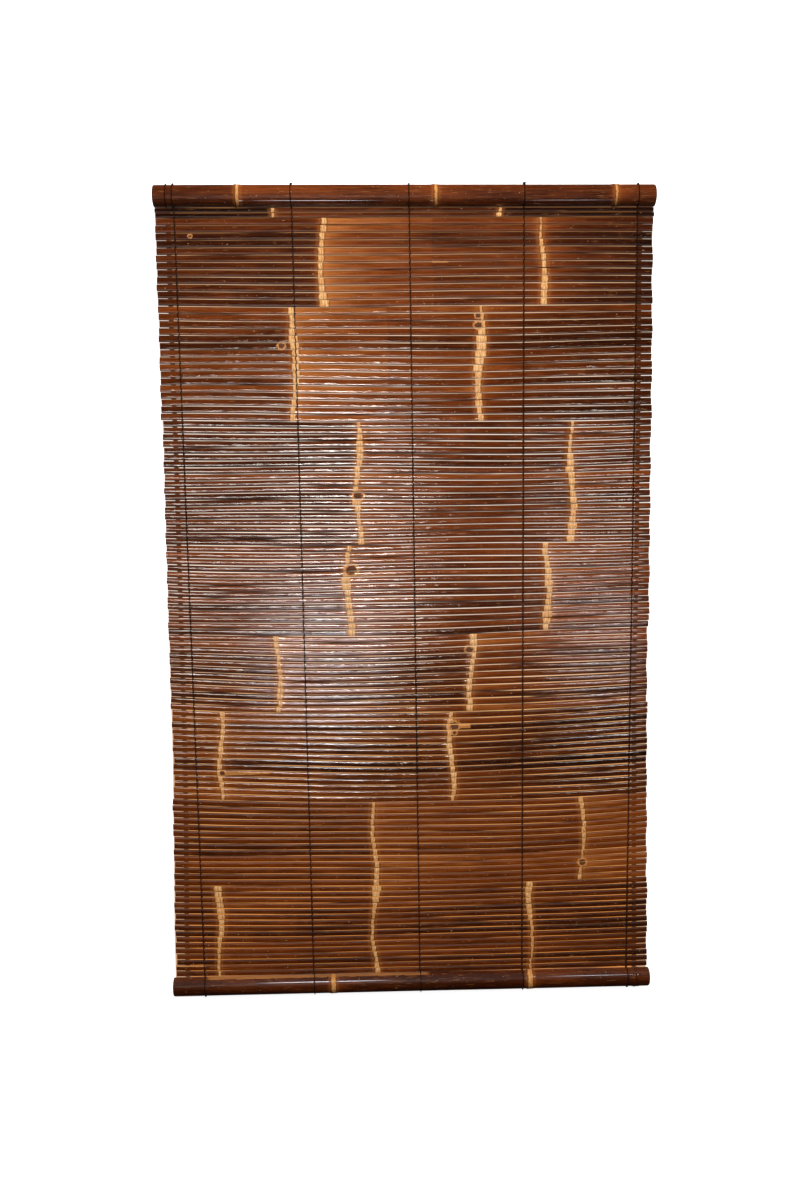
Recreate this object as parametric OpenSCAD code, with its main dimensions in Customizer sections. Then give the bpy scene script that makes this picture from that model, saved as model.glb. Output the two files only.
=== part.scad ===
// Bamboo roll-up blind, hanging unrolled from its head rail.
// X runs along the rails, -Y faces the room and +Z is up.
// The origin is the middle of the head rail's flat back, on the axis of its culm.
// Every rail and slat is split from a culm, so it is part of a turned shape with a raised ring at each node.
// Places along the blind are a share of half the rail length, from -1 at the left to 1 at the right.

/* [Blind] */
// Length of both rails, which is the width of the blind
rail_length = 900; // [600:10:1500]
// Drop of the blind, from the top of the head rail to the foot of the bottom rail
drop = 1490; // [900:10:2400]

/* [Rails] */
// Outer radius of the half culm of the head rail
head_radius = 19.5; // [14:0.5:30]
// Outer radius of the half culm of the bottom rail
bottom_radius = 18; // [14:0.5:30]
// Wall of both half culms
rail_wall = 5; // [3:0.5:8]
// Rise of a node ring above a rail
rail_ring_rise = 1.3; // [0.5:0.1:3]
// Length of a node ring along a rail
rail_ring_length = 16; // [8:1:24]
// Thickness of the septum that closes a rail's culm at each node
septum = 4; // [2:0.5:7]
// Places of the head rail's nodes, from the left
head_nodes = [-0.66, 0.125, 0.845]; // [-0.95:0.005:0.95]
// Places of the bottom rail's nodes, from the left
bottom_nodes = [-0.325, 0.5, 0.95]; // [-0.95:0.005:0.95]

/* [Slats] */
// Heights of the bundles from the top down, which share the drop between the rails in this proportion
bundle_height = [17.5, 156, 206, 224, 165, 143, 169.5, 161, 171]; // [15:0.5:400]
// Width of slat that each bundle is split to, as near as whole slats fill its height
split_width = [7.2, 11.5, 11.4, 10.3, 10.3, 10.4, 9.8, 10, 9.2]; // [6:0.1:14]
// Outer radius of the culm of each bundle
bundle_radius = [26, 34, 34, 20, 22, 22, 24, 32, 30]; // [16:1:50]
// Places of the nodes in each bundle, from the left
bundle_nodes = [
    [-0.53, 0.37],
    [-0.335, 0.547],
    [-0.455, 0.293],
    [-0.203, 0.667],
    [-0.247, 0.567],
    [-0.54, 0.254],
    [-0.78, 0.169],
    [-0.154, 0.715],
    [-0.803, -0.158, 0.498]
]; // [-0.9:0.001:0.9]
// Distance of each bundle's left ends from the left ends of the rails
left_inset = [2, 3, 4.5, 7, 7.5, 8.5, 9, 7, 4]; // [1.5:0.5:12]
// Distance of each bundle's right ends from the right ends of the rails
right_inset = [2.5, 4, 3.5, 4.5, 5, 8, 7, 6, 4.5]; // [1.5:0.5:12]
// Thickness of a slat
slat_thickness = 2.6; // [1.5:0.1:5]
// How far the ends of one slat wander from its bundle's
end_wander = 1.2; // [0:0.1:1.4]
// How far a node wanders along the slats of its bundle
node_wander = 4; // [0:0.5:10]
// Rise of a shaved node above a slat
slat_ring_rise = 0.35; // [0.1:0.05:0.8]
// Length of a shaved node along a slat
slat_ring_length = 12; // [6:1:20]

/* [Twine] */
// Places of the twine columns on the head rail, from the left
column_top = [-0.92, -0.455, 0.013, 0.473, 0.93]; // [-0.95:0.001:0.95]
// Places of the twine columns on the bottom rail, from the left
column_bottom = [-0.87, -0.415, 0.03, 0.46, 0.902]; // [-0.95:0.001:0.95]
// Thickness of a strand, which sets the gap between slats
strand = 1.1; // [0.8:0.1:2]
// Width of a strand along the blind
strand_width = 1.3; // [0.8:0.1:2]
// Clearance of the twine to the bamboo
clearance = 0.2; // [0.15:0.05:0.5]
// Radius of a knot on the head rail
knot_radius = 1.7; // [1.2:0.1:4]
// Place of the extra turn of twine round the head rail
turn_place = -0.95; // [-0.98:0.005:-0.94]

/* [Hidden] */
$fn = 96;
bamboo = "#5a3220";
bamboo_rail = "#43241a";
twine = "#1d1512";

half_length = rail_length / 2;
bundles = len(bundle_height);
columns = len(column_top);
gap = strand + 2 * clearance;
arc_steps = 16;

// Turn of each wander from one slat to the next, and from one bundle to the next, in degrees
left_turn = 97;
right_turn = 61;
node_turn = 23;
bundle_turn = 130;

// Number and width of the slats in each bundle
function total(list, last) = last < 0 ? 0 : list[last] + total(list, last - 1);
mat_drop = drop - 2 * (head_radius + bottom_radius) - gap;
bundle_drop = bundle_height * mat_drop / total(bundle_height, bundles - 1);
bundle_count = [
    for (b = [0 : bundles - 1]) max(1, round(bundle_drop[b] / (split_width[b] + gap)))
];
bundle_width = [for (b = [0 : bundles - 1]) bundle_drop[b] / bundle_count[b] - gap];

// Upper edge of each bundle, and the axis of the bottom rail's culm
bundle_top = [for (b = [0 : bundles - 1]) -head_radius - gap - total(bundle_drop, b - 1)];
bottom_axis = head_radius + bottom_radius - drop;

// Middle of a slat's height, and half the angle that it takes of its culm
function slat_z(b, i) = bundle_top[b] - bundle_width[b] / 2 - i * (bundle_width[b] + gap);
function half_angle(b) = asin(bundle_width[b] / 2 / bundle_radius[b]);

// Small wander of one slat against the next, from -1 to 1
function wander(b, i, turn) = sin(turn * i + bundle_turn * b);

// Lower edge of the head rail and of every slat after it, from the top down
lower_edges = concat(
    [-head_radius],
    [
        for (b = [0 : bundles - 1])
            for (i = [0 : bundle_count[b] - 1]) slat_z(b, i) - bundle_width[b] / 2
    ]
);
slats = len(lower_edges) - 1;

// Depth of the twine in front of the slats and behind them
function back_bulge(b) = (bundle_radius[b] - slat_thickness) * (1 - cos(half_angle(b)));
front_y = -(slat_thickness + slat_ring_rise + clearance);
back_y = max([for (b = [0 : bundles - 1]) back_bulge(b)]) + clearance;

// Turned shape with its axis along X, swept over an angle that is centred on -Y
module split_culm(angle) {
    rotate([-90, 0, 0])
        rotate([0, 90, 0])
            rotate([0, 0, -angle / 2])
                rotate_extrude(angle = angle)
                    children();
}

// Ring of a rail's node: a ridge, a groove and a lower ridge
function rail_ring(x, radius) = [
    [radius, x - rail_ring_length / 2],
    [radius + rail_ring_rise, x - rail_ring_length / 5],
    [radius + rail_ring_rise / 3, x],
    [radius + rail_ring_rise * 2 / 3, x + rail_ring_length / 5],
    [radius, x + rail_ring_length / 2]
];

// Shaved node of a slat: one low ridge with a flat top
function slat_ring(x, radius) = [
    [radius, x - slat_ring_length / 2],
    [radius + slat_ring_rise, x - slat_ring_length / 5],
    [radius + slat_ring_rise, x + slat_ring_length / 5],
    [radius, x + slat_ring_length / 2]
];

// Half culm, hollow at the back between its septa
module rail(radius, places) {
    inner = radius - rail_wall;
    septum_radius = inner + rail_wall / 3;
    outline = concat(
        [[inner, half_length], [inner, -half_length], [radius, -half_length]],
        [for (p = places) each rail_ring(p * half_length, radius)],
        [[radius, half_length]]
    );
    color(bamboo_rail) {
        split_culm(180) polygon(outline);
        for (p = places)
            translate([p * half_length - septum / 2, 0, 0])
                rotate([90, 0, 90])
                    linear_extrude(septum)
                        intersection() {
                            circle(septum_radius);
                            translate([-radius, -radius]) square([radius, 2 * radius]);
                        }
    }
}

module head_rail() {
    rail(head_radius, head_nodes);
}

module bottom_rail() {
    translate([0, 0, bottom_axis]) rail(bottom_radius, bottom_nodes);
}

// One slat: a narrow strip of its bundle's culm
module slat(b, i) {
    radius = bundle_radius[b];
    inner = radius - slat_thickness;
    left = -half_length + left_inset[b] + end_wander * wander(b, i, left_turn);
    right = half_length - right_inset[b] + end_wander * wander(b, i, right_turn);
    places = bundle_nodes[b] * half_length;
    outline = concat(
        [[inner, right], [inner, left], [radius, left]],
        [
            for (k = [0 : len(places) - 1])
                each slat_ring(places[k] + node_wander * wander(b + k, i, node_turn), radius)
        ],
        [[radius, right]]
    );
    translate([0, inner, slat_z(b, i)])
        split_culm(2 * half_angle(b)) polygon(outline);
}

module slat_bundle(b) {
    color(bamboo)
        for (i = [0 : bundle_count[b] - 1]) slat(b, i);
}

// Arc round the front of a rail, from its top to its bottom, in the YZ plane
function front_arc(z, radius) = [
    for (k = [0 : arc_steps])
        let (a = 90 + 180 * k / arc_steps) [radius * cos(a), z + radius * sin(a)]
];

// A strand changes face in the gap below each member, where member 0 is the head rail and the slats follow.
// Side 0 starts in front of the head rail and side 1 behind it.
function in_front(member, side) = (member + side) % 2 == 0;

// One edge of a strand in the gaps between the rails: its depth in front and behind, and its height in a gap
function gap_edge(side, front, back, rise) = [
    for (m = [0 : slats])
        let (
            z = lower_edges[m] - gap / 2,
            from_front = in_front(m, side),
            before = [front, z + (from_front ? -rise : rise)],
            after = [back, z + (from_front ? -rise : rise)]
        )
        each [
            if (from_front && m > 0) before,
            after,
            if (!from_front && m < slats) before
        ]
];

// One whole edge of a strand, from the head rail down: inset 0 is its edge towards the room.
// It runs round the front of a rail and over to the back, or straight behind the rail.
function strand_edge(side, inset) =
    let (
        head_end = head_radius + clearance + strand,
        bottom_end = bottom_radius + clearance + strand,
        front = front_y - strand + inset,
        back = back_y + inset,
        far_back = back_y + strand
    )
    concat(
        in_front(0, side)
            ? concat([[far_back, head_end - inset]], front_arc(0, head_end - inset))
            : [[back, head_end]],
        gap_edge(side, front, back, strand / 2 - inset),
        in_front(slats + 1, side)
            ? concat(
                front_arc(bottom_axis, bottom_end - inset),
                [[far_back, bottom_axis - bottom_end + inset]]
            )
            : [[back, bottom_axis - bottom_end]]
    );

function reversed(list) = [for (k = [len(list) - 1 : -1 : 0]) list[k]];

// One strand of a column, with its half of the knot: side 0 is left of the column's line and side 1 right
module twine_strand(column, side) {
    top = column_top[column] * half_length;
    lean = asin((top - column_bottom[column] * half_length) / -bottom_axis);
    stretch = 1 / cos(lean);
    outline = concat(strand_edge(side, 0), reversed(strand_edge(side, strand)));
    color(twine)
        translate([top, 0, 0])
            rotate([0, lean, 0])
                mirror([1 - side, 0, 0])
                    rotate([90, 0, 90]) {
                        linear_extrude(strand_width)
                            polygon([for (p = outline) [p[0], p[1] * stretch]]);
                        translate([back_y, head_radius + clearance + strand / 2 + knot_radius])
                            cylinder(h = 2 * strand_width, r = knot_radius);
                    }
}

// Closed turn of twine: round the front of the head rail and straight down its back
module twine_turn() {
    inner = head_radius + clearance;
    outer = inner + strand;
    far_back = back_y + strand;
    color(twine)
        translate([turn_place * half_length, 0, 0])
            rotate([90, 0, 90])
                linear_extrude(strand_width)
                    difference() {
                        polygon(concat([[far_back, outer]], front_arc(0, outer), [[far_back, -outer]]));
                        polygon(concat([[back_y, inner]], front_arc(0, inner), [[back_y, -inner]]));
                    }
}

head_rail();
bottom_rail();
for (b = [1 : bundles])
    slat_bundle(b - 1);
for (c = [1 : columns]) {
    twine_strand(c - 1, 0);
    twine_strand(c - 1, 1);
}
twine_turn();
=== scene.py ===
# %% [markdown]
# # A bamboo roll-up blind
# The blind is a mat of about 120 narrow bamboo slats that hangs between two half culms, with five columns of
# twine that hold the slats apart. The solids of every piece come from CAD as a fixed frame. This lesson
# dresses them: it reads where each slat and each rail is, grows a natural, uneven piece in its place, and
# gives the pieces the finish of stained and varnished bamboo.

# %% Load the frame
import math
import random

import bmesh
import bpy
import numpy as np
from mathutils import Matrix, Vector


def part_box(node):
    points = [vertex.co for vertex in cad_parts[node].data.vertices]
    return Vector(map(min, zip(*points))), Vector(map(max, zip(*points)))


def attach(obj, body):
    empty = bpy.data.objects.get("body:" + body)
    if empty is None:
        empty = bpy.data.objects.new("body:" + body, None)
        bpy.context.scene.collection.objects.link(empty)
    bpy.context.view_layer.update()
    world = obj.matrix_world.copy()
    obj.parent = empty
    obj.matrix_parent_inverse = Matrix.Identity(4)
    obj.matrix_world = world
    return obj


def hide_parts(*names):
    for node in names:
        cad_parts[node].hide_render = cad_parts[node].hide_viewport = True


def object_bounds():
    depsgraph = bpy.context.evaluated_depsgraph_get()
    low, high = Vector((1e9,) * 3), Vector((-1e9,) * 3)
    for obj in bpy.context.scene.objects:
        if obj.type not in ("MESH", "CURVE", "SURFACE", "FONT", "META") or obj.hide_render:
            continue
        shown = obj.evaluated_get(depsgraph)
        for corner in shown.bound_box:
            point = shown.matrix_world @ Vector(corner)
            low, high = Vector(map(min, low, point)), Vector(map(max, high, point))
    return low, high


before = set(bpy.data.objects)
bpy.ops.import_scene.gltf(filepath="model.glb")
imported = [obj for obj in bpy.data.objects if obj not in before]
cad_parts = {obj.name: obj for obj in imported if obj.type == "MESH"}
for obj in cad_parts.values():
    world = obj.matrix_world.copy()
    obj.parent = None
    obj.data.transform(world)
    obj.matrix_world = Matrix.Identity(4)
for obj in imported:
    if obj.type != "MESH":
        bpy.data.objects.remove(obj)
cad_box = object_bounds()
print("CAD box in metres:", [[round(v, 4) for v in corner] for corner in cad_box])

# %% [markdown]
# ## The camera
# The photograph was taken from straight in front, a little above the middle of the blind, so the mat narrows
# slightly towards its foot. The camera stands 2.3 m away. Its lens is given in pixels of the 800 pixel wide
# picture, and turned into millimetres for Blender's 36 mm sensor.

# %% Set up the camera
PICTURE_WIDTH = 800
FOCAL_PIXELS = 1234.4
camera_data = bpy.data.cameras.new("camera")
camera_data.sensor_fit = "HORIZONTAL"
camera_data.sensor_width = 36.0
camera_data.lens = camera_data.sensor_width * FOCAL_PIXELS / PICTURE_WIDTH
camera = bpy.data.objects.new("camera", camera_data)
bpy.context.scene.collection.objects.link(camera)
pitch, yaw, roll = (math.radians(a) for a in (-5.06, -1.97, -0.55))
camera.matrix_world = (
    Matrix.Translation((-0.0952, -2.2656, -0.5261))
    @ Matrix.Rotation(yaw, 4, "Z")
    @ Matrix.Rotation(math.radians(90) + pitch, 4, "X")
    @ Matrix.Rotation(roll, 4, "Z")
)
bpy.context.scene.camera = camera
bpy.context.scene.view_settings.view_transform = "Standard"
print("lens:", round(camera_data.lens, 2), "mm")

# %% [markdown]
# ## Formulas as nodes
# Both the shapes and the finishes below are formulas: where a point of a slat goes, or how dark a spot is.
# In Blender a formula is a net of nodes. Wiring them one by one is long to read, so a small class wraps an
# output socket, and ordinary arithmetic on it adds the Math nodes. The same class works in Geometry Nodes and
# in shaders.


# %% A socket that can be calculated with
def plug(tree, value, socket):
    """Gives an input socket a fixed value, or links it to an output."""
    if isinstance(value, Wire):
        tree.links.new(value.socket, socket)
    else:
        socket.default_value = value


class Wire:
    """One output socket. Arithmetic on it adds Math nodes to the same tree."""

    def __init__(self, node, output=0):
        self.tree, self.socket = node.id_data, node.outputs[output]

    def math(self, operation, *others):
        node = self.tree.nodes.new("ShaderNodeMath")
        node.operation = operation
        for place, value in enumerate((self, *others)):
            plug(self.tree, value, node.inputs[place])
        return Wire(node)

    def __add__(self, other):
        return self.math("ADD", other)

    def __sub__(self, other):
        return self.math("SUBTRACT", other)

    def __mul__(self, other):
        return self.math("MULTIPLY", other)

    def __truediv__(self, other):
        return self.math("DIVIDE", other)

    def __neg__(self):
        return self.math("MULTIPLY", -1.0)


print("arithmetic on sockets is ready")


# %% Helpers for single nodes
def make(tree, kind, plugs=(), **settings):
    """Adds a node, sets its options and feeds its inputs by name or number."""
    node = tree.nodes.new(kind)
    for option, value in settings.items():
        setattr(node, option, value)
    for name, value in dict(plugs).items():
        plug(tree, value, node.inputs[name])
    return node


def vector(tree, x, y, z):
    return Wire(make(tree, "ShaderNodeCombineXYZ", {0: x, 1: y, 2: z}))


def noise(tree, place, detail=2.0, roughness=0.5):
    """Smooth noise from 0 to 1 with its cells one unit apart."""
    plugs = {"Vector": place, "Scale": 1.0, "Detail": detail, "Roughness": roughness}
    return Wire(make(tree, "ShaderNodeTexNoise", plugs))


def step(value, low, high):
    """0 below low, 1 above high, and smooth in between."""
    plugs = {"Value": value, "From Min": low, "From Max": high}
    return Wire(make(value.tree, "ShaderNodeMapRange", plugs, interpolation_type="SMOOTHSTEP"))


def hill(value, width):
    """1 where value is 0, and falling to nothing over a few widths."""
    share = value / width
    return (-(share * share)).math("EXPONENT")


def nearest_node(x, nodes, widths):
    """The signed distance from the nearest of several nodes, and that node's width."""
    nearest, width = x - nodes[0], widths[0]
    for node, other in zip(nodes[1:], widths[1:]):
        beyond = x - node
        closer = nearest.math("ABSOLUTE").math("GREATER_THAN", beyond.math("ABSOLUTE"))
        nearest = nearest + (beyond - nearest) * closer
        width = width + (other - width) * closer
    return nearest, width


def sockets(tree, way, **kinds):
    """Gives a node tree its named inputs or outputs."""
    for name, kind in kinds.items():
        tree.interface.new_socket(name=name.replace("_", " "), in_out=way, socket_type="NodeSocket" + kind)


print("node helpers are ready")

# %% [markdown]
# ## Reading the slats
# Each bundle of slats is one CAD node that holds a dozen or more loose solids. A copy of the mesh has its
# doubled vertices merged, and then a walk along the edges collects one solid after another. Nothing is typed
# in twice: a slat's length, height, curve and nodes are all measured on its solid.


# %% Split a CAD node into its solids
def loose_solids(node):
    """The vertices of each separate solid of a CAD node, from the top down."""
    copy = bmesh.new()
    copy.from_mesh(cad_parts[node].data)
    bmesh.ops.remove_doubles(copy, verts=copy.verts, dist=1e-6)
    waiting, solids = set(copy.verts), []
    while waiting:
        reached, found = [waiting.pop()], []
        while reached:
            vert = reached.pop()
            found.append(vert.co[:])
            for edge in vert.link_edges:
                other = edge.other_vert(vert)
                if other in waiting:
                    waiting.remove(other)
                    reached.append(other)
        solids.append(np.array(found))
    copy.free()
    return sorted(solids, key=lambda solid: -solid[:, 2].mean())


def ring_places(solid):
    """Where along X a solid stands furthest to the front: the rings of its nodes."""
    front = solid[:, 1].min()
    crests = np.sort(solid[solid[:, 1] < front + 1.5e-4][:, 0])
    groups = np.split(crests, np.nonzero(np.diff(crests) > 0.03)[0] + 1)
    return [float(group.mean()) for group in groups]


print("solids of the first bundle:", len(loose_solids("slat_bundle_1")))


# %% Measure one slat
def measure_slat(solid):
    """A slat's ends and edges, the culm it was split from, and its nodes."""
    left, _, low = solid.min(axis=0)
    right, _, high = solid.max(axis=0)
    end = solid[solid[:, 0] < left + 1e-5]
    crown = end[:, 1].min()
    shoulder = end[end[:, 2].argmax(), 1]
    sagitta, half_chord = shoulder - crown, (high - low) / 2
    radius = (half_chord**2 + sagitta**2) / (2 * sagitta)
    return {
        "left": left,
        "right": right,
        "low": low,
        "high": high,
        "radius": radius,
        "half angle": math.asin(half_chord / radius),
        "wall": -crown,
        "axis y": radius + crown,
        "axis z": (low + high) / 2,
        "nodes": ring_places(solid),
    }


BUNDLES = sorted(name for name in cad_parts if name.startswith("slat_bundle"))
slats = {name: [measure_slat(solid) for solid in loose_solids(name)] for name in BUNDLES}
print("slats read:", sum(len(bundle) for bundle in slats.values()))
print("first slat of bundle 3:", {k: np.round(v, 4).tolist() for k, v in slats["slat_bundle_3"][0].items()})


# %% Measure the rails
def measure_rail(node):
    """A rail is half a culm: its axis lies in the flat of its back."""
    solid = np.concatenate(loose_solids(node))
    left, right = solid[:, 0].min(), solid[:, 0].max()
    end = solid[solid[:, 0] < left + 1e-5]
    radius = (end[:, 2].max() - end[:, 2].min()) / 2
    axis_z = (end[:, 2].max() + end[:, 2].min()) / 2
    away = np.hypot(end[:, 1], end[:, 2] - axis_z)
    return {
        "left": left,
        "right": right,
        "radius": radius,
        "half angle": math.pi / 2,
        "wall": radius - away.min(),
        "axis y": 0.0,
        "axis z": axis_z,
        "nodes": ring_places(solid),
    }


rails = {node: measure_rail(node) for node in ("head_rail", "bottom_rail")}
for node, rail in rails.items():
    print(node, {k: np.round(v, 4).tolist() for k, v in rail.items()})

# %% [markdown]
# ## Effects that the bamboo finishes share
# Slats and rails come from the same stained culms, so they share five effects, each made once as a group of
# shader nodes. The first is the grain: long fine streaks, broad cloudy patches, small chips (whose pale
# colour also paints small glints), and the blisters of the varnish. Noise is stretched along X, the way the
# fibres run, and each strip reads it at a place of its own by its seed, so that neighbours differ.


# %% Group: bamboo grain
def shader_group(name, inputs, outputs):
    tree = bpy.data.node_groups.new(name, "ShaderNodeTree")
    sockets(tree, "INPUT", **inputs)
    sockets(tree, "OUTPUT", **outputs)
    return tree, tree.nodes.new("NodeGroupInput"), tree.nodes.new("NodeGroupOutput")


grain_group, given, result = shader_group(
    "bamboo_grain",
    {"Place": "Vector", "Seed": "Float"},
    {name: "Float" for name in ("Streaks", "Bands", "Clouds", "Chips", "Spots", "Scratches", "Blisters")},
)
split = make(grain_group, "ShaderNodeSeparateXYZ", {0: Wire(given, "Place")})
along, depth, height = (Wire(split, axis) for axis in "XYZ")
seed = Wire(given, "Seed")


def fibre_noise(pace, turn, across_pace, detail):
    """Noise that is drawn out along the fibres and starts elsewhere on each strip."""
    place = vector(grain_group, along * pace + seed * turn, depth * across_pace, height * across_pace)
    return noise(grain_group, place, detail)


chip_and_glint_specks = fibre_noise(210.0, 3.1, 500.0, 1.0)
dots = fibre_noise(190.0, 11.9, 420.0, 1.0)
lines = fibre_noise(45.0, 13.7, 760.0, 0.0)
for name, value in (
    ("Streaks", fibre_noise(9.0, 7.3, 900.0, 4.0)),
    ("Bands", fibre_noise(24.0, 2.3, 360.0, 2.0)),
    ("Clouds", fibre_noise(11.0, 0.9, 40.0, 3.0)),
    ("Chips", step(chip_and_glint_specks, 0.74, 0.79)),
    ("Spots", step(dots, 0.70, 0.77)),
    ("Scratches", step(lines, 0.72, 0.80)),
    ("Blisters", fibre_noise(45.0, 5.7, 240.0, 3.0)),
):
    plug(grain_group, value, result.inputs[name])
print("grain group:", len(grain_group.nodes), "nodes")

# %% [markdown]
# The second effect is the pale mark at a node. The ring of a culm was shaved flat before it was stained, so
# the raw wood shows there as a ragged cream band, with the thin line of the ring in it. Beside it the stain
# took less well: a narrow orange halo borders the mark, and a glow fades out along the bamboo, mostly on the
# right. Just outside the mark, a thin dark lip is painted shadow. Where a strip has no mark at a node, the
# mark's width is 0.

# %% Group: shaved node
node_group, given, result = shader_group(
    "shaved_node",
    {"Place": "Vector", "Seed": "Float", "Node_Gap": "Float", "Half_Width": "Float"},
    {name: "Float" for name in ("Raw", "Heart", "Ring", "Glow", "Lip", "Halo")},
)
split = make(node_group, "ShaderNodeSeparateXYZ", {0: Wire(given, "Place")})
along, height = Wire(split, "X"), Wire(split, "Z")
seed, gap = Wire(given, "Seed"), Wire(given, "Node Gap")
rough_edge = noise(node_group, vector(node_group, along * 150.0, seed * 1.7, height * 300.0), 3.0) - 0.5
shift = noise(node_group, vector(node_group, seed * 3.3, 5.1, 0.4), 0.0) - 0.5
middle = gap + rough_edge * 0.005 + shift * 0.005
distance, edge = middle.math("ABSOLUTE"), Wire(given, "Half Width")
marked = step(edge, 0.0001, 0.0008)
raw = step(distance, edge + 0.0008, edge - 0.0006) * marked
shavings = noise(node_group, vector(node_group, along * 1100.0, seed * 2.9, height * 150.0), 2.0)
heart = step(distance, edge * 1.05, edge * 0.6) * step(shavings, 0.40, 0.60)
ring = hill(middle - edge * 0.25, 0.0006) + hill(middle + edge * 0.6, 0.0004) * 0.7
right_side = step(gap, -0.002, 0.004)
glow = hill(gap, 0.013) * 0.4 + right_side * (hill(gap, 0.05) * 0.25 + hill(gap, 0.18) * 0.35)
# Painted shadow: a thin dark line just outside the edge of the mark.
painted_lip_shadow = hill(distance - edge - 0.0016, 0.0010)
halo = step(distance, edge + 0.009, edge) * marked
marks = {"Raw": raw, "Heart": heart, "Ring": ring, "Glow": glow * marked, "Lip": painted_lip_shadow, "Halo": halo}
for name, value in marks.items():
    plug(node_group, value, result.inputs[name])
print("node group:", len(node_group.nodes), "nodes")

# %% [markdown]
# The third effect is the bare edge. Where a culm was split, the stain is thin and the lighter inner wood
# shows in broken lines along the corner of the bark.

# %% Group: bare edge
edge_group, given, result = shader_group(
    "bare_edge",
    {"Place": "Vector", "Seed": "Float", "Across": "Float", "Start": "Float"},
    {"Bare": "Float"},
)
split = make(edge_group, "ShaderNodeSeparateXYZ", {0: Wire(given, "Place")})
along, height = Wire(split, "X"), Wire(split, "Z")
place = vector(edge_group, along * 28.0 + Wire(given, "Seed") * 4.1, 0.0, height * 90.0)
wear = noise(edge_group, place, 3.0)
corner = Wire(given, "Across").math("ABSOLUTE") - Wire(given, "Start")
bare = step(corner + (wear - 0.5) * 0.16, 0.0, 0.05)
plug(edge_group, bare, result.inputs["Bare"])
print("edge group:", len(edge_group.nodes), "nodes")

# %% [markdown]
# Two more effects are single scars. A bud scar is where a twig grew: a pale rim round a brown heart. Torn
# fibre is a patch where the bark came off along the grain, which may taper like a splinter. A strip carries
# the place and the size of its scars, and a size of 0 means none.

# %% Group: bud scar
bud_group, given, result = shader_group(
    "bud_scar", {"Place": "Vector", "Bud": "Vector"}, {"Rim": "Float", "Core": "Float"}
)
split = make(bud_group, "ShaderNodeSeparateXYZ", {0: Wire(given, "Place")})
bud = make(bud_group, "ShaderNodeSeparateXYZ", {0: Wire(given, "Bud")})
along, height, size = Wire(split, "X"), Wire(split, "Z"), Wire(bud, "Z")
over, up = (along - Wire(bud, "X")) * 0.85, height - Wire(bud, "Y")
frayed = noise(bud_group, vector(bud_group, along * 260.0, 0.0, height * 260.0), 2.0) - 0.5
away = (over * over + up * up).math("SQRT") + frayed * size * 0.9
real = size.math("GREATER_THAN", 0.0001)
plug(bud_group, step(away, size * 1.15, size * 0.95) * real, result.inputs["Rim"])
plug(bud_group, step(away, size * 0.80, size * 0.60) * real, result.inputs["Core"])
print("bud group:", len(bud_group.nodes), "nodes")

# %% Group: torn fibre
torn_group, given, result = shader_group(
    "torn_fibre", {"Place": "Vector", "Span": "Vector", "Form": "Vector"}, {"Bare": "Float"}
)
split = make(torn_group, "ShaderNodeSeparateXYZ", {0: Wire(given, "Place")})
span = make(torn_group, "ShaderNodeSeparateXYZ", {0: Wire(given, "Span")})
form = make(torn_group, "ShaderNodeSeparateXYZ", {0: Wire(given, "Form")})
along, height = Wire(split, "X"), Wire(split, "Z")
share = (along - Wire(span, "X")) / (Wire(span, "Y") - Wire(span, "X"))
frayed = noise(torn_group, vector(torn_group, along * 90.0, 0.0, height * 500.0), 3.0) - 0.5
half_height = Wire(form, "X") * (-(share * Wire(form, "Y")) + 1.0)
off_middle = (height - Wire(span, "Z")).math("ABSOLUTE") + frayed * Wire(form, "X") * 1.1
inside = step(share, 0.0, 0.02) * step(share, 1.0, 0.97)
torn = step(off_middle, half_height, half_height - 0.0004) * inside
plug(torn_group, torn * Wire(form, "X").math("GREATER_THAN", 0.0001), result.inputs["Bare"])
print("torn fibre group:", len(torn_group.nodes), "nodes")

# %% [markdown]
# ## The bamboo finish
# The colour starts from the stain, which is a number that the piece carries from 0, dark, to 1, thin and
# orange. Streaks and clouds shift it, and a colour ramp turns it into brown. On the rails, painted light
# makes the upper side lighter. The bare edges, the chips (whose pale colour also paints small glints), the
# marks of the nodes and the scars are mixed over it. Along the upper and the lower edge of a rounder slat, a
# broken dark rim is painted as the shade in the gaps between the slats.


# %% Helpers for the bamboo finish
def attribute(tree, name, output="Fac"):
    return Wire(make(tree, "ShaderNodeAttribute", attribute_name=name), output)


def place_group(tree, group, **plugs):
    node = make(tree, "ShaderNodeGroup", node_tree=group)
    for name, value in plugs.items():
        plug(tree, value, node.inputs[name.replace("_", " ")])
    return node


def paint(tree, share, under, over):
    """One colour over another: each is a wire or four numbers."""
    node = make(tree, "ShaderNodeMix", data_type="RGBA")
    for place, value in ((0, share), (6, under), (7, over)):
        plug(tree, value, node.inputs[place])
    return Wire(node, 2)


def ramp(tree, value, stops):
    node = make(tree, "ShaderNodeValToRGB", {0: value})
    marks = node.color_ramp.elements
    while len(marks) < len(stops):
        marks.new(1.0)
    for mark, (place, colour) in zip(marks, stops):
        mark.position, mark.color = place, (*colour, 1.0)
    return Wire(node)


STAIN = (
    (0.0, (0.013, 0.0030, 0.0010)),
    (0.3, (0.060, 0.0114, 0.0016)),
    (0.6, (0.190, 0.0390, 0.0044)),
    (1.0, (0.450, 0.1380, 0.0250)),
)
RAW_WOOD = (0.60, 0.250, 0.065, 1.0)
THIN_STAIN = (0.42, 0.130, 0.022, 1.0)
RAW_HEART = (1.00, 0.660, 0.290, 1.0)
BARE_WOOD = (0.40, 0.180, 0.060, 1.0)
RING_LINE = (0.26, 0.100, 0.028, 1.0)
SCRAPED = (0.40, 0.160, 0.045, 1.0)
BUD_CORE = (0.11, 0.032, 0.008, 1.0)
EDGE_STOPS = ((0.40, (0.070, 0.0170, 0.0030)), (0.68, (0.760, 0.3000, 0.0600)))
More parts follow.
